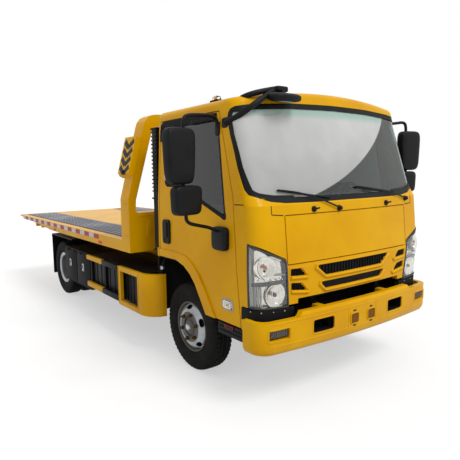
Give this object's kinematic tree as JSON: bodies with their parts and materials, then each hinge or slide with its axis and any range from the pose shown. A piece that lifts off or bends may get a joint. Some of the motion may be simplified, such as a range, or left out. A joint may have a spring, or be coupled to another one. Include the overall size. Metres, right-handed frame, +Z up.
{
  "type": "flatbed tow truck",
  "caption": "Flatbed tow truck with a tilting cab, opening doors and front lid, steered front wheels, and a bed that slides back and tilts to the ground to load a car.",
  "frame": {"origin": "on the ground, in the middle of the vehicle's length and width", "axes": "+X forward, +Y to the vehicle's left, +Z up"},
  "size_m": [5.995, 2.914, 2.356],
  "materials": {
    "yellow_paint": "gloss",
    "black_plastic": "matte",
    "clear_lamp": "gloss",
    "red_lamp": "gloss",
    "window_glass": "clear",
    "grey_trim": "matte",
    "seat_cloth": "woven",
    "black_steel": "satin",
    "bare_steel": "brushed",
    "cast_iron": "rough",
    "tank_aluminium": "satin",
    "silver_wheel": "satin",
    "tyre_rubber": "matte",
    "grey_plate": "satin"
  },
  "bodies": {
    "chassis": {"chassis_frame": "black_steel", "front_axle": "black_steel", "rear_axle": "black_steel", "leaf_springs": "black_steel", "engine_block": "cast_iron", "propeller_shaft": "black_steel", "exhaust": "bare_steel", "fuel_tank": "tank_aluminium", "battery_box": "black_steel", "guard_posts": "black_steel", "side_guards": "yellow_paint", "rear_lockers": "black_steel", "mudguards": "black_plastic", "rear_bumper": "black_steel", "tail_lamps": "red_lamp", "front_bumper": "yellow_paint", "fog_lamps": "clear_lamp"},
    "cab": {"cab_shell": "yellow_paint", "grille_inserts": "black_plastic", "headlamps": "clear_lamp", "cab_glass": "window_glass", "windscreen_surround": "black_plastic", "cab_floor": "black_plastic", "cab_steps": "black_plastic", "lookdown_mirror": "black_plastic", "roof_lamps": "clear_lamp", "air_intake": "black_plastic", "seats": "seat_cloth", "dashboard": "grey_trim"},
    "lid": {"front_lid": "yellow_paint"},
    "left_door": {"door_left": "yellow_paint", "door_glass_left": "window_glass", "door_fittings_left": "black_plastic"},
    "right_door": {"door_right": "yellow_paint", "door_glass_right": "window_glass", "door_fittings_right": "black_plastic"},
    "steering_wheel": {"steering_wheel": "black_plastic"},
    "left_knuckle": {"knuckle_left": "black_steel"},
    "right_knuckle": {"knuckle_right": "black_steel"},
    "front_left_wheel": {"front_tyre_left": "tyre_rubber", "front_rim_left": "silver_wheel"},
    "front_right_wheel": {"front_tyre_right": "tyre_rubber", "front_rim_right": "silver_wheel"},
    "rear_left_wheels": {"rear_tyres_left": "tyre_rubber", "rear_rims_left": "silver_wheel"},
    "rear_right_wheels": {"rear_tyres_right": "tyre_rubber", "rear_rims_right": "silver_wheel"},
    "tilt_frame": {"tilt_frame": "yellow_paint", "slide_barrel": "black_steel"},
    "bed": {"bed_frame": "yellow_paint", "deck_plates": "grey_plate", "headboard": "yellow_paint", "chevron_boxes": "yellow_paint", "winch": "bare_steel", "slide_rod": "bare_steel"},
    "tilt_barrels": {"tilt_barrels": "black_steel"},
    "tilt_rods": {"tilt_rods": "bare_steel"}
  },
  "joints": [
    {"name": "cab_tilt", "type": "hinge", "parent": "chassis", "child": "cab", "pos_m": [2.8075, 0, 0.8], "axis": [0, 1, 0], "range_deg": [0, 45]},
    {"name": "lid_lift", "type": "hinge", "parent": "cab", "child": "lid", "pos_m": [2.8895, 0, 1.416], "axis": [0, -1, 0], "range_deg": [0, 60]},
    {"name": "left_door_swing", "type": "hinge", "parent": "cab", "child": "left_door", "pos_m": [2.6895, 1.003, 1.4], "axis": [0, 0, -1], "range_deg": [0, 70]},
    {"name": "right_door_swing", "type": "hinge", "parent": "cab", "child": "right_door", "pos_m": [2.6895, -1.003, 1.4], "axis": [0, 0, 1], "range_deg": [0, 70]},
    {"name": "left_steer", "type": "hinge", "parent": "chassis", "child": "left_knuckle", "pos_m": [1.9075, 0.7, 0.387], "axis": [0, 0, 1], "range_deg": [-35, 35]},
    {"name": "right_steer", "type": "hinge", "parent": "chassis", "child": "right_knuckle", "pos_m": [1.9075, -0.7, 0.387], "axis": [0, 0, 1], "range_deg": [-35, 35]},
    {"name": "steering_wheel_turn", "type": "hinge", "parent": "cab", "child": "steering_wheel", "pos_m": [2.3275, 0.47, 1.458], "axis": [-0.7303, 0, 0.6832], "range_deg": [-525, 525]},
    {"name": "front_left_spin", "type": "hinge", "parent": "left_knuckle", "child": "front_left_wheel", "pos_m": [1.9075, 0.84, 0.387], "axis": [0, 1, 0], "continuous": true},
    {"name": "front_right_spin", "type": "hinge", "parent": "right_knuckle", "child": "front_right_wheel", "pos_m": [1.9075, -0.84, 0.387], "axis": [0, 1, 0], "continuous": true},
    {"name": "rear_left_spin", "type": "hinge", "parent": "chassis", "child": "rear_left_wheels", "pos_m": [-1.4525, 0.72, 0.387], "axis": [0, 1, 0], "continuous": true},
    {"name": "rear_right_spin", "type": "hinge", "parent": "chassis", "child": "rear_right_wheels", "pos_m": [-1.4525, -0.72, 0.387], "axis": [0, 1, 0], "continuous": true},
    {"name": "bed_tilt", "type": "hinge", "parent": "chassis", "child": "tilt_frame", "pos_m": [-2.2125, 0, 0.7], "axis": [0, -1, 0], "range_deg": [0, 16]},
    {"name": "bed_slide", "type": "slide", "parent": "tilt_frame", "child": "bed", "axis": [-1, 0, 0], "range_m": [0, 2.85]},
    {"name": "tilt_barrel_swing", "type": "hinge", "parent": "chassis", "child": "tilt_barrels", "pos_m": [-1.7625, 0, 0.505], "axis": [0, -1, 0], "range_deg": [0, 22.08]},
    {"name": "tilt_rod_slide", "type": "slide", "parent": "tilt_barrels", "child": "tilt_rods", "axis": [0.921, 0, 0.3896], "range_m": [0, 0.114]}
  ],
  "couplings": [
    {"joint": "right_steer", "follows": "left_steer", "ratio": 1},
    {"joint": "steering_wheel_turn", "follows": "left_steer", "ratio": 15},
    {"joint": "tilt_barrel_swing", "follows": "bed_tilt", "ratio": 1.3677},
    {"joint": "tilt_rod_slide", "follows": "bed_tilt", "m_per_rad": 0.4011}
  ]
}
